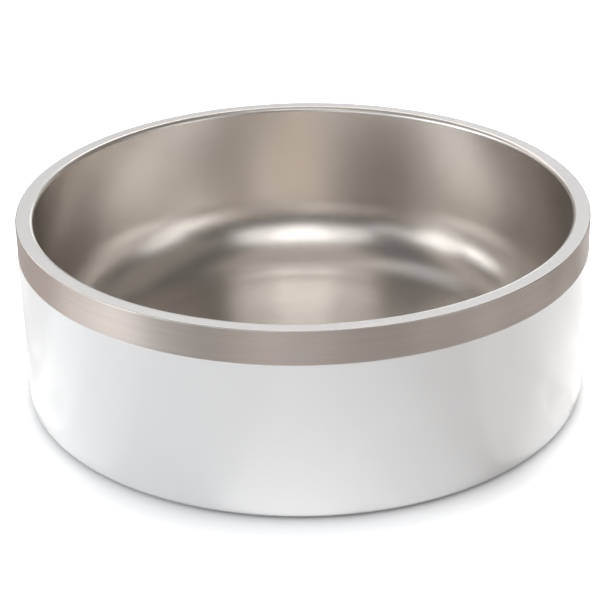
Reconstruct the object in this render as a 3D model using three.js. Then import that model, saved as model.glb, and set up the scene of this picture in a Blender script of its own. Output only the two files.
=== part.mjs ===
// Straight-sided pet bowl with a steel liner inside a coated steel shell.
// Millimetres, +Z up. The origin is the centre of the circle that the grip
// ring stands on. Every piece is a body of revolution about Z.
import * as THREE from 'three';
import { mergeVertices } from 'three/addons/utils/BufferGeometryUtils.js';

// ---- driving dimensions (mm) ----
const SEGMENTS = 64;            // facets around the axis, vertices on +-X and +-Y
const TOTAL_H = 73.0;           // standing plane to rim land
const SHEET = 0.8;              // steel sheet thickness, liner, shell and base

const SHELL_R = 107.35;         // outside of the bare steel shell
const COAT_T = 0.15;            // coat thickness, so 107.5 over the coat
const BAND_H = 12.5;            // bare band, rim land down to the coat's edge
const RIM_WELD = 1.0;           // section of the rim weld at the outer corner
const RIM_EDGE_R = 0.4;         // edge ground on the weld, land to band

const LAND_IN_R = 102.8;        // inner edge of the flat rim land
const RIM_IN_R = 1.8;           // inner rim roll
const WALL_TAPER = 2.0;         // liner wall draft, degrees
const INNER_DEPTH = 68.8;       // rim land to liner floor
const FLOOR_CORNER_R = 29.0;    // liner corner radius between wall and floor
const FLOOR_SWEEP_R = 200.0;    // wide sweep between that corner and the flat floor
const FLOOR_SWEEP = 7.0;        // slope where the sweep meets the corner, degrees

const FOOT_Z = 1.5;             // underside of the shell's turned-in foot
const FOOT_CORNER_R = 2.0;      // outer corner of the foot
const FOOT_IN_R = 99.0;         // inner edge of the foot
const COAT_END_R = 102.0;       // the coat wraps under the foot to here

const BASE_R = 98.2;            // edge of the base plate, leaves the weld gap
const GROOVE_OUT_R = 96.0;      // ring groove, outer wall at its ceiling
const GROOVE_IN_R = 82.0;       // ring groove, inner wall at its ceiling
const GROOVE_Z = 3.4;           // groove ceiling
const GROOVE_DRAFT = 0.6;       // draft of the groove walls
const PANEL_R = 60.0;           // raised centre panel of the base
const PANEL_RISE = 0.6;
const WELD_CROWN = 0.2;         // base weld stands this proud of the foot

const RING_OUT_R = 95.4;
const RING_IN_R = 82.6;
const RING_EDGE = 0.8;          // edge break of the ring's underside
const BOND_T = 0.3;

// ---- helpers ----
const rad = THREE.MathUtils.degToRad;

// points on an arc in the (radius, z) half plane, both ends included
function arc(cr, cz, r, from, to, steps) {
  const pts = [];
  for (let i = 0; i <= steps; i++) {
    const a = rad(from + ((to - from) * i) / steps);
    pts.push([cr + r * Math.cos(a), cz + r * Math.sin(a)]);
  }
  return pts;
}

// Revolve a (radius, z) outline into a closed solid. The outline either closes
// on itself or starts and ends on the axis.
function revolve(outline) {
  const onAxis = outline[0][0] === 0 && outline[outline.length - 1][0] === 0;
  let area = 0;
  for (let i = 0; i < outline.length; i++) {
    const [r0, z0] = outline[i];
    const [r1, z1] = outline[(i + 1) % outline.length];
    area += r0 * z1 - r1 * z0;
  }
  const pts = (area > 0 ? outline : [...outline].reverse()).map(([r, z]) => new THREE.Vector2(r, z));
  if (!onAxis) pts.push(pts[0].clone());
  const lathe = new THREE.LatheGeometry(pts, SEGMENTS);
  lathe.rotateX(Math.PI / 2);
  lathe.deleteAttribute('normal');
  lathe.deleteAttribute('uv');
  const geo = mergeVertices(lathe, 1e-5);
  const src = geo.index.array;
  const keep = [];
  for (let i = 0; i < src.length; i += 3) {
    const [a, b, c] = [src[i], src[i + 1], src[i + 2]];
    if (a !== b && b !== c && c !== a) keep.push(a, b, c);
  }
  geo.setIndex(keep);
  // faces point outwards: the signed volume of the solid is positive
  const p = geo.attributes.position;
  let volume = 0;
  const [A, B, C] = [new THREE.Vector3(), new THREE.Vector3(), new THREE.Vector3()];
  for (let i = 0; i < keep.length; i += 3) {
    A.fromBufferAttribute(p, keep[i]);
    B.fromBufferAttribute(p, keep[i + 1]);
    C.fromBufferAttribute(p, keep[i + 2]);
    volume += A.dot(B.cross(C)) / 6;
  }
  if (volume < 0) {
    for (let i = 0; i < keep.length; i += 3) [keep[i + 1], keep[i + 2]] = [keep[i + 2], keep[i + 1]];
    geo.setIndex(keep);
  }
  geo.computeVertexNormals();
  return geo;
}

const steel = (color, roughness) => new THREE.MeshStandardMaterial({ color, roughness, metalness: 1.0 });
const bowl = new THREE.Group();
function add(name, outline, material) {
  const mesh = new THREE.Mesh(revolve(outline), material);
  mesh.name = name;
  bowl.add(mesh);
}

// ---- liner: rim land, inner roll, drafted wall, corner, sweep and floor ----
const floorZ = TOTAL_H - INNER_DEPTH;
const landOutR = SHELL_R - RIM_WELD;
const rollZ = TOTAL_H - RIM_IN_R;
const wallTopR = LAND_IN_R - RIM_IN_R;
const sweep = rad(FLOOR_SWEEP);
const cornerZ = floorZ + FLOOR_SWEEP_R - (FLOOR_SWEEP_R - FLOOR_CORNER_R) * Math.cos(sweep);
const t = rad(WALL_TAPER);
const wallEndZ = cornerZ - FLOOR_CORNER_R * Math.sin(t);
const wallEndR = wallTopR - (rollZ - wallEndZ) * Math.tan(t);
const cornerR = wallEndR - FLOOR_CORNER_R * Math.cos(t);
const flatR = cornerR - (FLOOR_SWEEP_R - FLOOR_CORNER_R) * Math.sin(sweep);
const CORNER_STEPS = 8;
const SWEEP_STEPS = 3;
const ROLL_STEPS = 4;
const linerIn = [
  [landOutR, TOTAL_H],
  ...arc(LAND_IN_R, rollZ, RIM_IN_R, 90, 180, ROLL_STEPS),
  ...arc(cornerR, cornerZ, FLOOR_CORNER_R, -WALL_TAPER, FLOOR_SWEEP - 90, CORNER_STEPS),
  ...arc(flatR, floorZ + FLOOR_SWEEP_R, FLOOR_SWEEP_R, FLOOR_SWEEP - 90, -90, SWEEP_STEPS).slice(1),
  [0, floorZ],
];
const linerOut = [
  [0, floorZ - SHEET],
  ...arc(flatR, floorZ + FLOOR_SWEEP_R, FLOOR_SWEEP_R + SHEET, -90, FLOOR_SWEEP - 90, SWEEP_STEPS).slice(0, -1),
  ...arc(cornerR, cornerZ, FLOOR_CORNER_R + SHEET, FLOOR_SWEEP - 90, -WALL_TAPER, CORNER_STEPS),
  ...arc(LAND_IN_R, rollZ, RIM_IN_R - SHEET, 180, 90, ROLL_STEPS),
  [landOutR, TOTAL_H - SHEET],
];
// the outline is walked from the axis over the inside, round the rim edge and back
add('inner_bowl', [...[...linerIn].reverse(), ...[...linerOut].reverse()], steel(0xb3a79e, 0.32));

// ---- shell: bare band, coated wall, turned-in foot ----
const shellInR = SHELL_R - SHEET;
const shellTopZ = TOTAL_H - RIM_WELD;
const bandZ = TOTAL_H - BAND_H;
const footCR = SHELL_R - FOOT_CORNER_R;
const footCZ = FOOT_Z + FOOT_CORNER_R;
const FOOT_STEPS = 4;
add('outer_shell', [
  [FOOT_IN_R, FOOT_Z],
  [COAT_END_R, FOOT_Z],
  ...arc(footCR, footCZ, FOOT_CORNER_R, -90, 0, FOOT_STEPS),
  [SHELL_R, bandZ],
  [SHELL_R, shellTopZ],
  [shellInR, shellTopZ],
  ...arc(footCR, footCZ, FOOT_CORNER_R - SHEET, 0, -90, FOOT_STEPS),
  [FOOT_IN_R, FOOT_Z + SHEET],
], steel(0xa89b93, 0.3));

// ---- rim weld: the corner between the land and the band, ground flush to both ----
add('rim_weld', [
  [landOutR, TOTAL_H - SHEET],
  [shellInR, shellTopZ],
  [SHELL_R, shellTopZ],
  ...arc(SHELL_R - RIM_EDGE_R, TOTAL_H - RIM_EDGE_R, RIM_EDGE_R, 0, 90, 4),
  [landOutR, TOTAL_H],
], steel(0xd8d6d3, 0.18));

// ---- coat: skin on the shell from the band's lower edge to under the foot ----
add('powder_coat', [
  [COAT_END_R, FOOT_Z],
  [COAT_END_R, FOOT_Z - COAT_T],
  ...arc(footCR, footCZ, FOOT_CORNER_R + COAT_T, -90, 0, FOOT_STEPS),
  [SHELL_R + COAT_T, bandZ - 0.12],
  [SHELL_R + COAT_T * 0.45, bandZ],
  [SHELL_R, bandZ],
  ...arc(footCR, footCZ, FOOT_CORNER_R, 0, -90, FOOT_STEPS),
], new THREE.MeshStandardMaterial({ color: 0xf2f2f2, roughness: 0.3, metalness: 0.0 }));

// ---- base plate: weld edge, ring groove, inner land, raised centre panel ----
const panelZ = FOOT_Z + PANEL_RISE;
add('base_plate', [
  [0, panelZ],
  [PANEL_R, panelZ],
  [PANEL_R + PANEL_RISE, FOOT_Z],
  [GROOVE_IN_R - GROOVE_DRAFT, FOOT_Z],
  [GROOVE_IN_R, GROOVE_Z],
  [GROOVE_OUT_R, GROOVE_Z],
  [GROOVE_OUT_R + GROOVE_DRAFT, FOOT_Z],
  [BASE_R, FOOT_Z],
  [BASE_R, FOOT_Z + SHEET],
  [GROOVE_OUT_R + GROOVE_DRAFT + SHEET, FOOT_Z + SHEET],
  [GROOVE_OUT_R + SHEET, GROOVE_Z + SHEET],
  [GROOVE_IN_R - SHEET, GROOVE_Z + SHEET],
  [GROOVE_IN_R - GROOVE_DRAFT - SHEET, FOOT_Z + SHEET],
  [PANEL_R + PANEL_RISE - SHEET * 0.4, FOOT_Z + SHEET],
  [PANEL_R - SHEET * 0.4, panelZ + SHEET],
  [0, panelZ + SHEET],
], steel(0xaaa6a2, 0.35));

// ---- base weld: seam between the plate's edge and the foot, slightly proud ----
add('base_weld', [
  [BASE_R, FOOT_Z],
  [(BASE_R + FOOT_IN_R) / 2, FOOT_Z - WELD_CROWN],
  [FOOT_IN_R, FOOT_Z],
  [FOOT_IN_R, FOOT_Z + SHEET],
  [BASE_R, FOOT_Z + SHEET],
], steel(0x9a948e, 0.4));

// ---- grip ring and its bond layer in the groove ----
add('grip_ring_bond', [
  [RING_IN_R, GROOVE_Z - BOND_T],
  [RING_OUT_R, GROOVE_Z - BOND_T],
  [RING_OUT_R, GROOVE_Z],
  [RING_IN_R, GROOVE_Z],
], new THREE.MeshStandardMaterial({ color: 0x4a4742, roughness: 0.7, metalness: 0.0 }));

add('grip_ring', [
  ...arc(RING_IN_R + RING_EDGE, RING_EDGE, RING_EDGE, 180, 270, 2),
  ...arc(RING_OUT_R - RING_EDGE, RING_EDGE, RING_EDGE, 270, 360, 2),
  [RING_OUT_R, GROOVE_Z - BOND_T],
  [RING_IN_R, GROOVE_Z - BOND_T],
], new THREE.MeshStandardMaterial({ color: 0x1d1d1e, roughness: 0.75, metalness: 0.0 }));

export default bowl;
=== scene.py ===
import math

import bpy
from mathutils import Matrix, Vector


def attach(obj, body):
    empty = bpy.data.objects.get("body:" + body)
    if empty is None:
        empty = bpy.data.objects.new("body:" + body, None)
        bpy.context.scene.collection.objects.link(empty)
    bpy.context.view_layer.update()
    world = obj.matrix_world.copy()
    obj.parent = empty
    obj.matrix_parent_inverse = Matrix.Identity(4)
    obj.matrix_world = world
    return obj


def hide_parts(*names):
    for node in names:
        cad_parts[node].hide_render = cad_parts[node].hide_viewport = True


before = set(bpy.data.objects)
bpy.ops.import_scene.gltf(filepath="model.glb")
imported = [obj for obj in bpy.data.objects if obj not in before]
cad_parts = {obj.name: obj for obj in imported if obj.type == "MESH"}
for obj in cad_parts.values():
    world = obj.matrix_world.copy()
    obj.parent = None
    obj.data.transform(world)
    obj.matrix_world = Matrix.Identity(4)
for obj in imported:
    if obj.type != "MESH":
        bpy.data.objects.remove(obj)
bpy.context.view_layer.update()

MM = 0.001

# ---------------------------------------------------------------- dimensions
TOTAL_H = 73.0
SHEET = 0.8
SHELL_R = 107.35
COAT_T = 0.15
BAND_H = 12.5
RIM_WELD = 1.0
RIM_EDGE_R = 0.4
LAND_IN_R = 102.8
RIM_IN_R = 1.8
WALL_TAPER = 2.0
INNER_DEPTH = 68.8
FLOOR_CORNER_R = 29.0
FLOOR_SWEEP_R = 200.0
FLOOR_SWEEP = 7.0
FOOT_Z = 1.5
FOOT_CORNER_R = 2.0
FOOT_IN_R = 99.0
COAT_END_R = 102.0
BASE_R = 98.2
GROOVE_OUT_R = 96.0
GROOVE_IN_R = 82.0
GROOVE_Z = 3.4
GROOVE_DRAFT = 0.6
PANEL_R = 60.0
PANEL_RISE = 0.6
WELD_CROWN = 0.2
RING_OUT_R = 95.4
RING_IN_R = 82.6
RING_EDGE = 0.8
BOND_T = 0.3

LAND_OUT_R = SHELL_R - RIM_WELD
FLOOR_Z = TOTAL_H - INNER_DEPTH
BAND_Z = TOTAL_H - BAND_H


# ------------------------------------------------------------ profile helpers
def arc(cr, cz, r, start, end, steps):
    """Points on an arc in the (radius, z) half plane, both ends included."""
    out = []
    for i in range(steps + 1):
        a = math.radians(start + (end - start) * i / steps)
        out.append((cr + r * math.cos(a), cz + r * math.sin(a)))
    return out


def line(p, q, steps):
    """Points between p and q, neither end included."""
    return [(p[0] + (q[0] - p[0]) * i / steps, p[1] + (q[1] - p[1]) * i / steps) for i in range(1, steps)]


def rounded(corners, steps=5):
    """A closed outline of (r, z, radius): each corner is rounded by its radius."""
    out = []
    n = len(corners)
    for i, (r, z, rad) in enumerate(corners):
        p = Vector((r, z))
        a = Vector(corners[i - 1][:2]) - p
        b = Vector(corners[(i + 1) % n][:2]) - p
        la, lb = a.length, b.length
        a.normalize()
        b.normalize()
        half = math.acos(max(-1.0, min(1.0, a.dot(b)))) / 2
        if rad <= 0 or half > math.radians(88):
            out.append((r, z))
            continue
        cut = min(rad / math.tan(half), la * 0.45, lb * 0.45)
        rad = cut * math.tan(half)
        centre = p + (a + b).normalized() * (rad / math.sin(half))
        v0, v1 = p + a * cut - centre, p + b * cut - centre
        turn = v0.angle_signed(v1)
        for k in range(steps + 1):
            t = -turn * k / steps
            out.append((centre.x + v0.x * math.cos(t) - v0.y * math.sin(t), centre.y + v0.x * math.sin(t) + v0.y * math.cos(t)))
    return out


def revolve(name, outline, segs, materials, pick=None, ripple=None, sharp=34.0):
    """A closed body of revolution about Z. The outline (mm) closes on itself, or starts and ends on the axis."""
    poles = outline[0][0] == 0 and outline[-1][0] == 0
    area = sum(
        outline[i][0] * outline[(i + 1) % len(outline)][1] - outline[(i + 1) % len(outline)][0] * outline[i][1]
        for i in range(len(outline))
    )
    if area < 0:
        outline = outline[::-1]
    m = len(outline)
    verts, faces, where = [], [], []
    rings = []
    for k, (r, z) in enumerate(outline):
        if poles and k in (0, m - 1):
            rings.append([len(verts)])
            verts.append((0.0, 0.0, z * MM))
            continue
        ring = []
        for i in range(segs):
            a = 2 * math.pi * i / segs
            dr, dz = ripple(r, z, a) if ripple else (0.0, 0.0)
            ring.append(len(verts))
            verts.append(((r + dr) * math.cos(a) * MM, (r + dr) * math.sin(a) * MM, (z + dz) * MM))
        rings.append(ring)
    pairs = [(k, k + 1) for k in range(m - 1)] + ([] if poles else [(m - 1, 0)])
    for k0, k1 in pairs:
        low, high = rings[k0], rings[k1]
        for i in range(segs):
            j = (i + 1) % segs
            if len(low) == 1:
                f = (low[0], high[j], high[i])
            elif len(high) == 1:
                f = (low[i], low[j], high[0])
            else:
                f = (low[i], low[j], high[j], high[i])
            faces.append(f)
            where.append((k0, k1))
    mesh = bpy.data.meshes.new(name)
    mesh.from_pydata(verts, [], faces)
    mesh.update()
    # ring edges at the corners of the outline stay crisp
    crisp = set()
    for k in range(m):
        if poles and k in (0, m - 1):
            continue
        p = Vector(outline[k])
        a, b = p - Vector(outline[k - 1]), Vector(outline[(k + 1) % m]) - p
        if a.length > 0 and b.length > 0 and math.degrees(a.angle(b)) > sharp:
            crisp.update(rings[k])
    ring_of = {}
    for k, ring in enumerate(rings):
        for v in ring:
            ring_of[v] = k
    if crisp:
        for e in mesh.edges:
            v0, v1 = e.vertices
            if v0 in crisp and v1 in crisp and ring_of[v0] == ring_of[v1]:
                e.use_edge_sharp = True
    run = [0.0]
    for k in range(1, m):
        run.append(run[-1] + (Vector(outline[k]) - Vector(outline[k - 1])).length)
    total = run[-1] + (Vector(outline[0]) - Vector(outline[-1])).length
    uv = mesh.uv_layers.new(name="UVMap")
    for p, (k0, k1) in zip(mesh.polygons, where):
        p.use_smooth = True
        mid_r = (outline[k0][0] + outline[k1][0]) / 2
        mid_z = (outline[k0][1] + outline[k1][1]) / 2
        if pick:
            p.material_index = pick(mid_r, mid_z)
        seam = p.index % segs
        for li in p.loop_indices:
            v = mesh.loops[li].vertex_index
            k = ring_of[v]
            ring = rings[k]
            i = ring.index(v) if len(ring) == 1 else v - ring[0]
            u = (seam + 0.5) / segs if len(ring) == 1 else (1.0 if (seam == segs - 1 and i == 0) else i / segs)
            w = run[k] / total
            if k == 0 and k1 == 0:
                w = 1.0
            uv.data[li].uv = (u, w)
    for mat in materials:
        mesh.materials.append(mat)
    obj = bpy.data.objects.new(name, mesh)
    bpy.context.scene.collection.objects.link(obj)
    return obj


# ----------------------------------------------------------- material helpers
class Mat:
    """A small wrapper that keeps node building short."""

    def __init__(self, name):
        self.mat = bpy.data.materials.new(name)
        self.mat.use_nodes = True
        self.nt = self.mat.node_tree
        self.nt.nodes.clear()
        self.out = self.nt.nodes.new("ShaderNodeOutputMaterial")
        self.bsdf = self.nt.nodes.new("ShaderNodeBsdfPrincipled")
        self.nt.links.new(self.bsdf.outputs["BSDF"], self.out.inputs["Surface"])
        self.pos = self.nt.nodes.new("ShaderNodeTexCoord").outputs["Object"]
        self._split = None

    def set(self, **values):
        for key, value in values.items():
            self.bsdf.inputs[key.replace("_", " ")].default_value = value

    def link(self, a, b):
        self.nt.links.new(a, b)

    def math(self, op, a, b=None, clamp=False):
        n = self.nt.nodes.new("ShaderNodeMath")
        n.operation = op
        n.use_clamp = clamp
        for i, v in enumerate((a, b)):
            if v is None:
                continue
            if isinstance(v, (int, float)):
                n.inputs[i].default_value = v
            else:
                self.link(v, n.inputs[i])
        return n.outputs[0]

    def xyz(self):
        if self._split is None:
            n = self.nt.nodes.new("ShaderNodeSeparateXYZ")
            self.link(self.pos, n.inputs[0])
            x, y, z = n.outputs[0], n.outputs[1], n.outputs[2]
            r = self.math("SQRT", self.math("ADD", self.math("MULTIPLY", x, x), self.math("MULTIPLY", y, y)))
            self._split = (x, y, z, r)
        return self._split

    def vector(self, x, y, z):
        n = self.nt.nodes.new("ShaderNodeCombineXYZ")
        for i, v in enumerate((x, y, z)):
            if isinstance(v, (int, float)):
                n.inputs[i].default_value = v
            else:
                self.link(v, n.inputs[i])
        return n.outputs[0]

    def round_coords(self, along, across):
        """Coordinates for marks that run round the axis: slow along the circle, fast across it."""
        x, y, z, r = self.xyz()
        safe = self.math("MAXIMUM", r, 0.002)
        ux = self.math("MULTIPLY", self.math("DIVIDE", x, safe), along)
        uy = self.math("MULTIPLY", self.math("DIVIDE", y, safe), along)
        return self.vector(ux, uy, self.math("MULTIPLY", self.math("ADD", r, z), across))

    def noise(self, vec=None, scale=1.0, detail=2.0, rough=0.5, distortion=0.0):
        n = self.nt.nodes.new("ShaderNodeTexNoise")
        n.noise_dimensions = "3D"
        self.link(vec if vec is not None else self.pos, n.inputs["Vector"])
        n.inputs["Scale"].default_value = scale
        n.inputs["Detail"].default_value = detail
        n.inputs["Roughness"].default_value = rough
        n.inputs["Distortion"].default_value = distortion
        return n.outputs[0]

    def remap(self, value, lo, hi, to_lo, to_hi):
        n = self.nt.nodes.new("ShaderNodeMapRange")
        self.link(value, n.inputs["Value"])
        for key, v in (("From Min", lo), ("From Max", hi), ("To Min", to_lo), ("To Max", to_hi)):
            n.inputs[key].default_value = v
        return n.outputs[0]

    def ramp(self, value, stops):
        n = self.nt.nodes.new("ShaderNodeValToRGB")
        self.link(value, n.inputs[0])
        el = n.color_ramp.elements
        while len(el) < len(stops):
            el.new(0.5)
        for e, (p, c) in zip(el, stops):
            e.position = p
            e.color = (*c, 1.0)
        return n.outputs[0]

    def bump(self, height, strength, distance, normal=None):
        n = self.nt.nodes.new("ShaderNodeBump")
        n.inputs["Strength"].default_value = strength
        n.inputs["Distance"].default_value = distance
        self.link(height, n.inputs["Height"])
        if normal is not None:
            self.link(normal, n.inputs["Normal"])
        return n.outputs[0]

    def finish(self, colour=None, roughness=None, normal=None, round_tangent=False):
        if colour is not None:
            self.link(colour, self.bsdf.inputs["Base Color"])
        if roughness is not None:
            self.link(roughness, self.bsdf.inputs["Roughness"])
        if normal is not None:
            self.link(normal, self.bsdf.inputs["Normal"])
        if round_tangent:
            n = self.nt.nodes.new("ShaderNodeTangent")
            n.direction_type = "RADIAL"
            n.axis = "Z"
            self.link(n.outputs[0], self.bsdf.inputs["Tangent"])
        return self.mat


def satin_steel(name, tone, rough, grain, lines, aniso):
    """Satin stainless: cloudy tone, fine blasted grain, faint spinning marks round the axis."""
    m = Mat(name)
    m.set(Metallic=1.0, Anisotropic=aniso, Anisotropic_Rotation=0.25)
    cloud = m.noise(scale=55.0, detail=3.0, rough=0.55)
    fine = m.noise(scale=1500.0, detail=2.0, rough=0.6)
    speck = m.noise(scale=1000.0, detail=1.0, rough=0.5)
    rings = m.noise(m.round_coords(2.2, 1900.0), scale=1.0, detail=2.0, rough=0.55)
    mix = m.math("ADD", m.math("MULTIPLY", cloud, 0.3), m.math("MULTIPLY", rings, 0.2))
    mix = m.math("ADD", mix, m.math("MULTIPLY", speck, 0.5))
    lo = tuple(c * 0.945 for c in tone)
    hi = tuple(min(1.0, c * 1.045) for c in tone)
    colour = m.ramp(mix, [(0.30, lo), (0.70, hi)])
    r = m.math("ADD", m.remap(cloud, 0.3, 0.7, rough - 0.008, rough + 0.008), m.remap(fine, 0.3, 0.7, -0.015, 0.015))
    n = m.bump(fine, grain, 0.00004)
    n = m.bump(rings, lines, 0.00001, n)
    return m.finish(colour, r, n, round_tangent=True)


def brushed_steel(name, tone, rough, strength, aniso):
    """Steel brushed round the axis: long fine lines in tone, gloss and height."""
    m = Mat(name)
    m.set(Metallic=1.0, Anisotropic=aniso, Anisotropic_Rotation=0.25)
    long_lines = m.noise(m.round_coords(3.0, 5200.0), scale=1.0, detail=3.0, rough=0.65)
    broad = m.noise(m.round_coords(2.0, 900.0), scale=1.0, detail=2.0, rough=0.5)
    cloud = m.noise(scale=38.0, detail=2.0, rough=0.5)
    mix = m.math("ADD", m.math("MULTIPLY", long_lines, 0.6), m.math("MULTIPLY", broad, 0.4))
    lo = tuple(c * 0.93 for c in tone)
    hi = tuple(min(1.0, c * 1.06) for c in tone)
    colour = m.ramp(mix, [(0.30, lo), (0.70, hi)])
    r = m.math("ADD", m.remap(long_lines, 0.3, 0.7, rough - 0.06, rough + 0.06), m.remap(cloud, 0.3, 0.7, -0.03, 0.03))
    n = m.bump(long_lines, strength, 0.00001)
    return m.finish(colour, r, n, round_tangent=True)


def gloss_coat(name):
    """Glossy white baked coat: faint tone clouds and a shallow orange peel."""
    m = Mat(name)
    m.set(Metallic=0.0, IOR=1.6)
    peel = m.noise(scale=420.0, detail=2.0, rough=0.5)
    cloud = m.noise(scale=24.0, detail=3.0, rough=0.5)
    speck = m.noise(scale=2600.0, detail=1.0, rough=0.5)
    colour = m.ramp(cloud, [(0.25, (0.915, 0.917, 0.922)), (0.75, (0.940, 0.942, 0.946))])
    r = m.math("ADD", m.remap(cloud, 0.3, 0.7, 0.21, 0.25), m.remap(speck, 0.3, 0.7, -0.02, 0.02))
    n = m.bump(peel, 0.10, 0.00002)
    return m.finish(colour, r, n)


def rubber(name, tone, rough):
    """Matte moulded rubber: dusty tone, fine pitted grain."""
    m = Mat(name)
    m.set(Metallic=0.0, IOR=1.52)
    dust = m.noise(scale=90.0, detail=4.0, rough=0.6)
    grain = m.noise(scale=2200.0, detail=2.0, rough=0.6)
    lo = tuple(c * 0.75 for c in tone)
    hi = tuple(min(1.0, c * 1.5 + 0.004) for c in tone)
    colour = m.ramp(dust, [(0.30, lo), (0.75, hi)])
    r = m.remap(dust, 0.3, 0.7, rough - 0.06, rough + 0.08)
    n = m.bump(grain, 0.35, 0.00003)
    return m.finish(colour, r, n)


def weld_steel(name):
    """Seam of weld metal, brushed over: straw tint, ripples across the bead."""
    m = Mat(name)
    m.set(Metallic=1.0)
    cloud = m.noise(scale=160.0, detail=4.0, rough=0.6)
    grain = m.noise(scale=2400.0, detail=2.0, rough=0.6)
    colour = m.ramp(cloud, [(0.30, (0.42, 0.38, 0.33)), (0.70, (0.60, 0.575, 0.54))])
    r = m.remap(cloud, 0.3, 0.7, 0.30, 0.46)
    n = m.bump(grain, 0.30, 0.00002)
    return m.finish(colour, r, n)


LINER = satin_steel("liner_satin_steel", (0.842, 0.803, 0.762), 0.25, 0.80, 0.015, 0.5)
LAND = satin_steel("rim_polished_steel", (0.735, 0.732, 0.736), 0.18, 0.0125, 0.08, 0.0)
ROLL = satin_steel("rim_roll_steel", (0.76, 0.735, 0.71), 0.36, 0.005, 0.015, 0.0)
EDGE = satin_steel("rim_edge_steel", (0.66, 0.63, 0.605), 0.34, 0.005, 0.015, 0.0)
BAND = brushed_steel("band_brushed_steel", (0.715, 0.640, 0.592), 0.55, 0.20, 0.95)
COAT = gloss_coat("white_gloss_coat")
BASE = brushed_steel("base_turned_steel", (0.60, 0.585, 0.565), 0.34, 0.30, 0.4)
WELD = weld_steel("base_weld_steel")
RUBBER = rubber("grip_ring_rubber", (0.026, 0.026, 0.027), 0.68)
BOND = rubber("ring_bond_layer", (0.20, 0.19, 0.17), 0.75)

# -------------------------------------------------------------------- pieces
SEGS = 384

# liner: floor, corner, drafted wall, inner roll and flat land, one sheet thick
t = math.radians(WALL_TAPER)
roll_z = TOTAL_H - RIM_IN_R
wall_top_r = LAND_IN_R - RIM_IN_R
sweep = math.radians(FLOOR_SWEEP)
corner_z = FLOOR_Z + FLOOR_SWEEP_R - (FLOOR_SWEEP_R - FLOOR_CORNER_R) * math.cos(sweep)
wall_end_z = corner_z - FLOOR_CORNER_R * math.sin(t)
wall_end_r = wall_top_r - (roll_z - wall_end_z) * math.tan(t)
corner_r = wall_end_r - FLOOR_CORNER_R * math.cos(t)
flat_r = corner_r - (FLOOR_SWEEP_R - FLOOR_CORNER_R) * math.sin(sweep)


def liner_side(off, steps_corner, steps_roll):
    """The liner's profile from the axis to the rim's edge, offset outwards through the sheet by off."""
    floor = [(flat_r * k / 10, FLOOR_Z - off) for k in range(10)]
    floor += arc(flat_r, FLOOR_Z + FLOOR_SWEEP_R, FLOOR_SWEEP_R + off, -90, FLOOR_SWEEP - 90, 12)[:-1]
    corner = arc(corner_r, corner_z, FLOOR_CORNER_R + off, FLOOR_SWEEP - 90, -WALL_TAPER, steps_corner)
    roll = arc(LAND_IN_R, roll_z, RIM_IN_R - off, 180, 90, steps_roll)
    wall = line(corner[-1], roll[0], 10)
    land = line(roll[-1], (LAND_OUT_R, TOTAL_H - off), 4) + [(LAND_OUT_R, TOTAL_H - off)]
    return floor + corner + wall + roll + land


inside = liner_side(0.0, 40, 16)
outside = liner_side(SHEET, 20, 8)
liner = revolve(
    "liner", inside + outside[::-1], SEGS, [LINER, LAND, ROLL],
    pick=lambda r, z: 1 if z > TOTAL_H - 0.12 and r > LAND_IN_R - 1.0 else (2 if z > roll_z else 0),
)
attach(liner, "root")
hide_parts("inner_bowl")

# shell: bare band, wall under the coat, turned-in foot
foot_r, foot_z = SHELL_R - FOOT_CORNER_R, FOOT_Z + FOOT_CORNER_R
shell_top = TOTAL_H - RIM_WELD
shell_out = [(FOOT_IN_R, FOOT_Z)] + line((FOOT_IN_R, FOOT_Z), (foot_r, FOOT_Z), 4)
shell_out += arc(foot_r, foot_z, FOOT_CORNER_R, -90, 0, 10)
shell_out += line((SHELL_R, foot_z), (SHELL_R, BAND_Z), 6) + [(SHELL_R, BAND_Z)]
shell_out += line((SHELL_R, BAND_Z), (SHELL_R, shell_top), 4) + [(SHELL_R, shell_top)]
shell_in = [(SHELL_R - SHEET, shell_top)] + line((SHELL_R - SHEET, shell_top), (SHELL_R - SHEET, foot_z), 8)
shell_in += arc(foot_r, foot_z, FOOT_CORNER_R - SHEET, 0, -90, 8) + [(FOOT_IN_R, FOOT_Z + SHEET)]
shell = revolve("shell", shell_out + shell_in, SEGS, [BAND])
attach(shell, "root")
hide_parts("outer_shell")

# rim weld, the corner between the land and the band, ground flush to both
weld_top = [(LAND_OUT_R, TOTAL_H - SHEET), (SHELL_R - SHEET, shell_top), (SHELL_R, shell_top)]
weld_top += arc(SHELL_R - RIM_EDGE_R, TOTAL_H - RIM_EDGE_R, RIM_EDGE_R, 0, 90, 12)
weld_top += [((SHELL_R - RIM_EDGE_R + LAND_OUT_R) / 2, TOTAL_H), (LAND_OUT_R, TOTAL_H)]
rim = revolve(
    "rim_weld_corner", weld_top, SEGS, [LAND, EDGE, BAND],
    pick=lambda r, z: 0 if z > TOTAL_H - 0.02 else (1 if z > TOTAL_H - RIM_EDGE_R else 2),
)
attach(rim, "root")
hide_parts("rim_weld")

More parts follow.
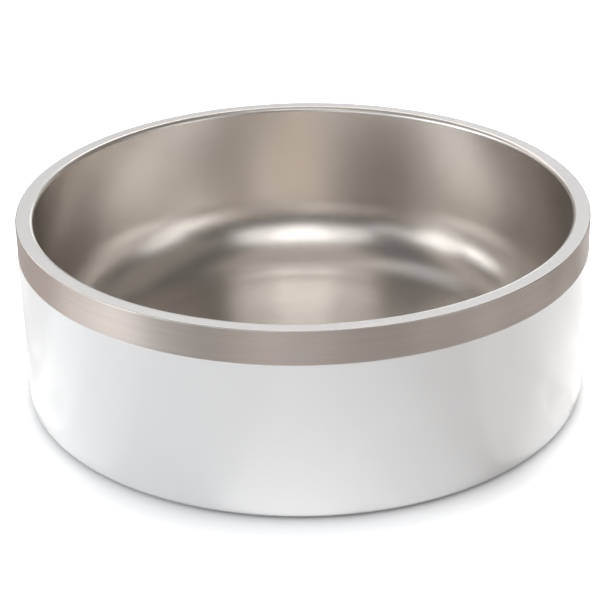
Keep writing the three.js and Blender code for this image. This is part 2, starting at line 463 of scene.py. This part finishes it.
# coat: a skin with a soft, slightly fat upper edge that wraps under the foot
CR = SHELL_R + COAT_T
coat_out = [(COAT_END_R, FOOT_Z), (COAT_END_R + 0.08, FOOT_Z - COAT_T * 0.7), (COAT_END_R + 0.3, FOOT_Z - COAT_T)]
coat_out += line((COAT_END_R + 0.3, FOOT_Z - COAT_T), (foot_r, FOOT_Z - COAT_T), 4)
coat_out += arc(foot_r, foot_z, FOOT_CORNER_R + COAT_T, -90, 0, 12)
coat_out += line((CR, foot_z), (CR, BAND_Z - 1.2), 10)
coat_out += [(CR, BAND_Z - 1.2), (CR + 0.012, BAND_Z - 0.8), (CR + 0.03, BAND_Z - 0.5), (CR + 0.035, BAND_Z - 0.34),
             (CR + 0.02, BAND_Z - 0.2), (CR - 0.025, BAND_Z - 0.09), (CR - 0.08, BAND_Z - 0.025), (SHELL_R, BAND_Z)]
coat_in = line((SHELL_R, BAND_Z), (SHELL_R, foot_z), 8) + arc(foot_r, foot_z, FOOT_CORNER_R, 0, -90, 12)
coat = revolve("white_coat", coat_out + coat_in, SEGS, [COAT], sharp=60.0)
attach(coat, "root")
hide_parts("powder_coat")

# base plate: weld edge, ring groove, inner land and raised centre panel, all with pressed radii
panel_z = FOOT_Z + PANEL_RISE
under = [
    (PANEL_R, panel_z, 1.0), (PANEL_R + PANEL_RISE, FOOT_Z, 0.9),
    (GROOVE_IN_R - GROOVE_DRAFT, FOOT_Z, 0.5), (GROOVE_IN_R, GROOVE_Z, 0.4),
    (GROOVE_OUT_R, GROOVE_Z, 0.4), (GROOVE_OUT_R + GROOVE_DRAFT, FOOT_Z, 0.5), (BASE_R, FOOT_Z, 0.0),
]
over = [
    (BASE_R, FOOT_Z + SHEET, 0.0), (GROOVE_OUT_R + GROOVE_DRAFT + SHEET, FOOT_Z + SHEET, 0.3),
    (GROOVE_OUT_R + SHEET, GROOVE_Z + SHEET, 0.6), (GROOVE_IN_R - SHEET, GROOVE_Z + SHEET, 0.6),
    (GROOVE_IN_R - GROOVE_DRAFT - SHEET, FOOT_Z + SHEET, 0.3),
    (PANEL_R + PANEL_RISE - SHEET * 0.4, FOOT_Z + SHEET, 0.6), (PANEL_R - SHEET * 0.4, panel_z + SHEET, 1.2),
]
closed = rounded([(0.0, panel_z, 0.0)] + under + over + [(0.0, panel_z + SHEET, 0.0)], 4)
spread = [closed[0]] + line(closed[0], closed[1], 6) + closed[1:-1] + line(closed[-2], closed[-1], 6) + [closed[-1]]
base = revolve("base_disc", spread, SEGS, [BASE])
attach(base, "root")
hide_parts("base_plate")

# base weld: a bead with the small ripples of a seam run round the foot
bead = [(FOOT_IN_R, FOOT_Z), (FOOT_IN_R, FOOT_Z + SHEET), (BASE_R, FOOT_Z + SHEET), (BASE_R, FOOT_Z)]
bead += [(BASE_R + 0.12, FOOT_Z - 0.10), (BASE_R + 0.27, FOOT_Z - 0.17), (BASE_R + 0.40, FOOT_Z - WELD_CROWN),
         (BASE_R + 0.53, FOOT_Z - 0.17), (BASE_R + 0.68, FOOT_Z - 0.10)]


def seam_ripple(r, z, a):
    if z >= FOOT_Z - 0.01:
        return 0.0, 0.0
    across = (r - BASE_R) / (FOOT_IN_R - BASE_R)
    return 0.0, 0.035 * math.sin(a * 288 + 2.6 * abs(across - 0.5))


weld = revolve("base_weld_bead", bead, SEGS * 4, [WELD], ripple=seam_ripple, sharp=70.0)
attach(weld, "root")
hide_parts("base_weld")

# grip ring: rounded edges and two shallow grip grooves in the underside
ring_top = GROOVE_Z - BOND_T
third = (RING_OUT_R - RING_IN_R) / 3
grooved = [(RING_IN_R, ring_top, 0.15), (RING_IN_R, 0.0, RING_EDGE)]
for g in (RING_IN_R + third, RING_IN_R + 2 * third):
    grooved += [(g - 0.75, 0.0, 0.25), (g - 0.35, 0.5, 0.3), (g + 0.35, 0.5, 0.3), (g + 0.75, 0.0, 0.25)]
grooved += [(RING_OUT_R, 0.0, RING_EDGE), (RING_OUT_R, ring_top, 0.15)]
ring = revolve("grip_ring_rubber", rounded(grooved, 5), SEGS, [RUBBER])
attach(ring, "root")
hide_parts("grip_ring")

# bond layer between the ring and its groove
layer = [(RING_IN_R, ring_top, 0.05), (RING_OUT_R, ring_top, 0.05), (RING_OUT_R, GROOVE_Z, 0.05), (RING_IN_R, GROOVE_Z, 0.05)]
bond = revolve("ring_bond", rounded(layer, 3), SEGS, [BOND])
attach(bond, "root")
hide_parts("grip_ring_bond")

# --------------------------------------------------------------------- stage
scene = bpy.context.scene
scene.view_settings.view_transform = "Standard"
scene.view_settings.look = "None"

FLOOR_SEGS = 96
floor_mesh = bpy.data.meshes.new("floor")
floor_mesh.from_pydata(
    [(5.0 * math.cos(2 * math.pi * i / FLOOR_SEGS), 5.0 * math.sin(2 * math.pi * i / FLOOR_SEGS), 0.0) for i in range(FLOOR_SEGS)],
    [], [tuple(range(FLOOR_SEGS))],
)
floor_obj = bpy.data.objects.new("floor", floor_mesh)
scene.collection.objects.link(floor_obj)

# a white sweep: pale grey as a bounce card, exposed to white in the picture; the colour the camera sees carries
# painted light that evens it across the set and a painted contact shadow round and in front of the bowl
fm = bpy.data.materials.new("floor_white_painted_shadow")
fm.use_nodes = True
ft = fm.node_tree
ft.nodes.clear()


def floor_node(kind, **sockets):
    n = ft.nodes.new(kind)
    for key, value in sockets.items():
        n.inputs[key.replace("_", " ")].default_value = value
    return n


f_out = floor_node("ShaderNodeOutputMaterial")
f_card = floor_node("ShaderNodeBsdfDiffuse", Color=(0.612, 0.60, 0.592, 1.0))
f_seen = floor_node("ShaderNodeBsdfDiffuse")
f_pos = floor_node("ShaderNodeTexCoord")
f_xyz = floor_node("ShaderNodeSeparateXYZ")
f_len = ft.nodes.new("ShaderNodeVectorMath")
f_len.operation = "LENGTH"
# painted light: the floor's colour rises from left to right and away from the bowl, evening out how the lamps fall on
# it
f_side_painted_light = floor_node("ShaderNodeMapRange", From_Min=-0.12, From_Max=0.12, To_Min=1.75, To_Max=2.70)
f_far_painted_light = floor_node("ShaderNodeMapRange", From_Min=0.115, From_Max=0.20, To_Min=1.0, To_Max=1.3)
# painted shadow: the floor's colour is darker in a ring close round the bowl's foot
f_near_painted_shadow = floor_node("ShaderNodeMapRange", From_Min=0.108, From_Max=0.122, To_Min=0.70, To_Max=1.0)
f_painted_light_gradient = ft.nodes.new("ShaderNodeMath")
f_painted_light_gradient.operation = "MULTIPLY"
f_painted_light_contact_shadow = ft.nodes.new("ShaderNodeMath")
f_painted_light_contact_shadow.operation = "MULTIPLY"
# painted shadow: the floor's colour is darker in front of the bowl
f_front_painted_shadow = floor_node("ShaderNodeMapRange", From_Min=-0.125, From_Max=-0.07, To_Min=0.80, To_Max=1.0)
f_painted_light_all_shadows = ft.nodes.new("ShaderNodeMath")
f_painted_light_all_shadows.operation = "MULTIPLY"
f_tint = ft.nodes.new("ShaderNodeVectorMath")
f_tint.operation = "SCALE"
f_tint.inputs[0].default_value = (0.985, 1.0, 1.018)
f_path = floor_node("ShaderNodeLightPath")
f_mix = floor_node("ShaderNodeMixShader")
ft.links.new(f_pos.outputs["Object"], f_xyz.inputs[0])
ft.links.new(f_pos.outputs["Object"], f_len.inputs[0])
ft.links.new(f_xyz.outputs[0], f_side_painted_light.inputs["Value"])
ft.links.new(f_len.outputs["Value"], f_far_painted_light.inputs["Value"])
ft.links.new(f_side_painted_light.outputs[0], f_painted_light_gradient.inputs[0])
ft.links.new(f_far_painted_light.outputs[0], f_painted_light_gradient.inputs[1])
ft.links.new(f_len.outputs["Value"], f_near_painted_shadow.inputs["Value"])
ft.links.new(f_painted_light_gradient.outputs[0], f_painted_light_contact_shadow.inputs[0])
ft.links.new(f_near_painted_shadow.outputs[0], f_painted_light_contact_shadow.inputs[1])
ft.links.new(f_xyz.outputs[1], f_front_painted_shadow.inputs["Value"])
ft.links.new(f_painted_light_contact_shadow.outputs[0], f_painted_light_all_shadows.inputs[0])
ft.links.new(f_front_painted_shadow.outputs[0], f_painted_light_all_shadows.inputs[1])
ft.links.new(f_painted_light_all_shadows.outputs[0], f_tint.inputs["Scale"])
ft.links.new(f_tint.outputs["Vector"], f_seen.inputs["Color"])
ft.links.new(f_path.outputs["Is Camera Ray"], f_mix.inputs[0])
ft.links.new(f_card.outputs[0], f_mix.inputs[1])
ft.links.new(f_seen.outputs[0], f_mix.inputs[2])
ft.links.new(f_mix.outputs[0], f_out.inputs["Surface"])
floor_mesh.materials.append(fm)

# ------------------------------------------------------------------- lights
world = bpy.data.worlds.new("studio")
world.use_nodes = True
scene.world = world
wt = world.node_tree
wt.nodes.clear()
w_out = wt.nodes.new("ShaderNodeOutputWorld")
w_amb = wt.nodes.new("ShaderNodeBackground")
w_amb.inputs["Color"].default_value = (1.0, 0.955, 0.915, 1.0)
w_amb.inputs["Strength"].default_value = 0.108
w_seen = wt.nodes.new("ShaderNodeBackground")
w_seen.inputs["Color"].default_value = (0.97, 0.97, 0.97, 1.0)
w_path = wt.nodes.new("ShaderNodeLightPath")
w_mix = wt.nodes.new("ShaderNodeMixShader")
wt.links.new(w_path.outputs["Is Camera Ray"], w_mix.inputs[0])
wt.links.new(w_amb.outputs[0], w_mix.inputs[1])
wt.links.new(w_seen.outputs[0], w_mix.inputs[2])
wt.links.new(w_mix.outputs[0], w_out.inputs["Surface"])

AIM = Vector((0.0, 0.0, 0.04))
WARM = (1.0, 0.88, 0.78)


def softbox(name, az, el, dist, wide, tall, radiance, colour=(1.0, 1.0, 1.0)):
    """A rectangular softbox: azimuth 0 is the camera's side and 90 is +X; wide and tall are degrees as seen from the bowl."""
    a, e = math.radians(az), math.radians(el)
    d = Vector((math.sin(a) * math.cos(e), -math.cos(a) * math.cos(e), math.sin(e)))
    light = bpy.data.lights.new(name, "AREA")
    light.shape = "RECTANGLE"
    light.size = 2 * dist * math.tan(math.radians(wide / 2))
    light.size_y = 2 * dist * math.tan(math.radians(tall / 2))
    light.energy = math.pi * light.size * light.size_y * radiance
    light.color = colour
    obj = bpy.data.objects.new(name, light)
    obj.location = AIM + d * dist
    obj.rotation_euler = d.to_track_quat("Z", "Y").to_euler()
    obj.visible_camera = False
    scene.collection.objects.link(obj)
    return obj


def floor_strip(name, az, radiance, near=0.1085, far=0.40, wide=0.07, colour=(1.0, 1.0, 1.0)):
    """A flat panel on the table that shines up at the wall of the bowl, pointing away from it at azimuth az."""
    a = math.radians(az)
    mid = (near + far) / 2
    light = bpy.data.lights.new(name, "AREA")
    light.shape = "RECTANGLE"
    light.size = wide
    light.size_y = far - near
    light.energy = math.pi * light.size * light.size_y * radiance
    light.color = colour
    obj = bpy.data.objects.new(name, light)
    obj.location = (math.sin(a) * mid, -math.cos(a) * mid, 0.001)
    obj.rotation_euler = (math.pi, 0.0, a)
    obj.visible_camera = False
    scene.collection.objects.link(obj)
    return obj


# the lit sweep round the set, low on the horizon
COOL = (0.92, 1.0, 1.07)
softbox("sweep_right_048", 48, 7, 2.5, 22, 11, 3.4)
softbox("sweep_right_120", 120, 7, 2.5, 22, 11, 0.2)
softbox("sweep_back_144", 144, 7, 2.5, 22, 11, 0.8)
softbox("sweep_back_168", 168, 7, 2.5, 22, 11, 2.4)
softbox("sweep_left_288", 288, 7, 2.5, 22, 11, 7.7, COOL)
softbox("sweep_left_312", 312, 7, 2.5, 22, 11, 3.3, COOL)
softbox("sweep_left_340", 340, 7, 2.5, 22, 11, 3.4)
# panels on the white table round the bowl
for strip_az, strip_radiance in (
    (0, 0.60), (20, 0.38), (60, 0.80), (80, 1.25), (100, 1.10), (120, 1.6), (140, 1.5),
    (220, 0.8), (240, 0.55), (260, 0.28), (280, 0.88), (300, 0.38),
):
    floor_strip("strip_%03d" % strip_az, strip_az, strip_radiance)
# front key over the camera, with wings
softbox("key_front", 0, 50, 2.2, 19, 26, 1.58)
softbox("key_right", 26, 49, 2.2, 18, 24, 1.00)
softbox("key_left", 333, 49, 2.2, 18, 24, 0.92)
softbox("top_front", 0, 67, 2.2, 30, 12, 0.32)
softbox("overhead", 0, 89.9, 2.2, 34, 34, 0.33, WARM)
# back lights and the backdrop behind the bowl
softbox("back_top", 180, 43, 2.2, 36, 12, 2.6, WARM)
softbox("back_high", 180, 67, 2.2, 18, 12, 0.95)
softbox("back_high_left", 228, 61, 2.2, 22, 22, 0.42)
softbox("backdrop", 180, 25, 2.4, 46, 24, 0.75)
softbox("back_right", 144, 31, 2.4, 20, 12, 0.75)
softbox("back_left", 216, 31, 2.4, 20, 12, 2.8)
# left window and right strip
softbox("left_back", 240, 19, 2.4, 21, 12, 1.5, WARM)
softbox("left_side", 264, 19, 2.4, 21, 12, 3.6)
softbox("left_window", 288, 25, 2.4, 21, 24, 1.5)
softbox("left_front", 312, 31, 2.4, 20, 12, 0.58)
softbox("left_fill", 255, 43, 2.4, 40, 14, 0.33, WARM)
softbox("right_strip", 72, 19, 2.4, 21, 12, 1.22)
softbox("right_fill", 90, 43, 2.4, 60, 26, 0.13, WARM)

# ------------------------------------------------------------------- camera
UNIT = 0.1067
CAM_D, CAM_E = 6.1174, math.radians(23.080)
CAM_YAW, CAM_PITCH, CAM_ROLL = math.radians(0.1404), math.radians(-3.3043), math.radians(0.9294)
FOCAL_PX = 1729.3


def turn(v, axis, angle):
    return Matrix.Rotation(angle, 3, axis) @ v


fwd = Vector((0.0, math.cos(CAM_E), -math.sin(CAM_E)))
right = Vector((1.0, 0.0, 0.0))
up = right.cross(fwd)
fwd, right = turn(fwd, up, CAM_YAW), turn(right, up, CAM_YAW)
fwd, up = turn(fwd, right, CAM_PITCH), turn(up, right, CAM_PITCH)
right, up = turn(right, fwd, CAM_ROLL), turn(up, fwd, CAM_ROLL)
spot = Vector((0.0, -CAM_D * math.cos(CAM_E), CAM_D * math.sin(CAM_E))) * UNIT + Vector((0.0, 0.0, TOTAL_H * MM))
cam_data = bpy.data.cameras.new("camera")
cam_data.sensor_width = 36.0
cam_data.lens = FOCAL_PX / 600.0 * 36.0
cam_data.clip_start = 0.01
cam = bpy.data.objects.new("camera", cam_data)
cam.matrix_world = Matrix((
    (right.x, up.x, -fwd.x, spot.x),
    (right.y, up.y, -fwd.y, spot.y),
    (right.z, up.z, -fwd.z, spot.z),
    (0.0, 0.0, 0.0, 1.0),
))
scene.collection.objects.link(cam)
scene.camera = cam
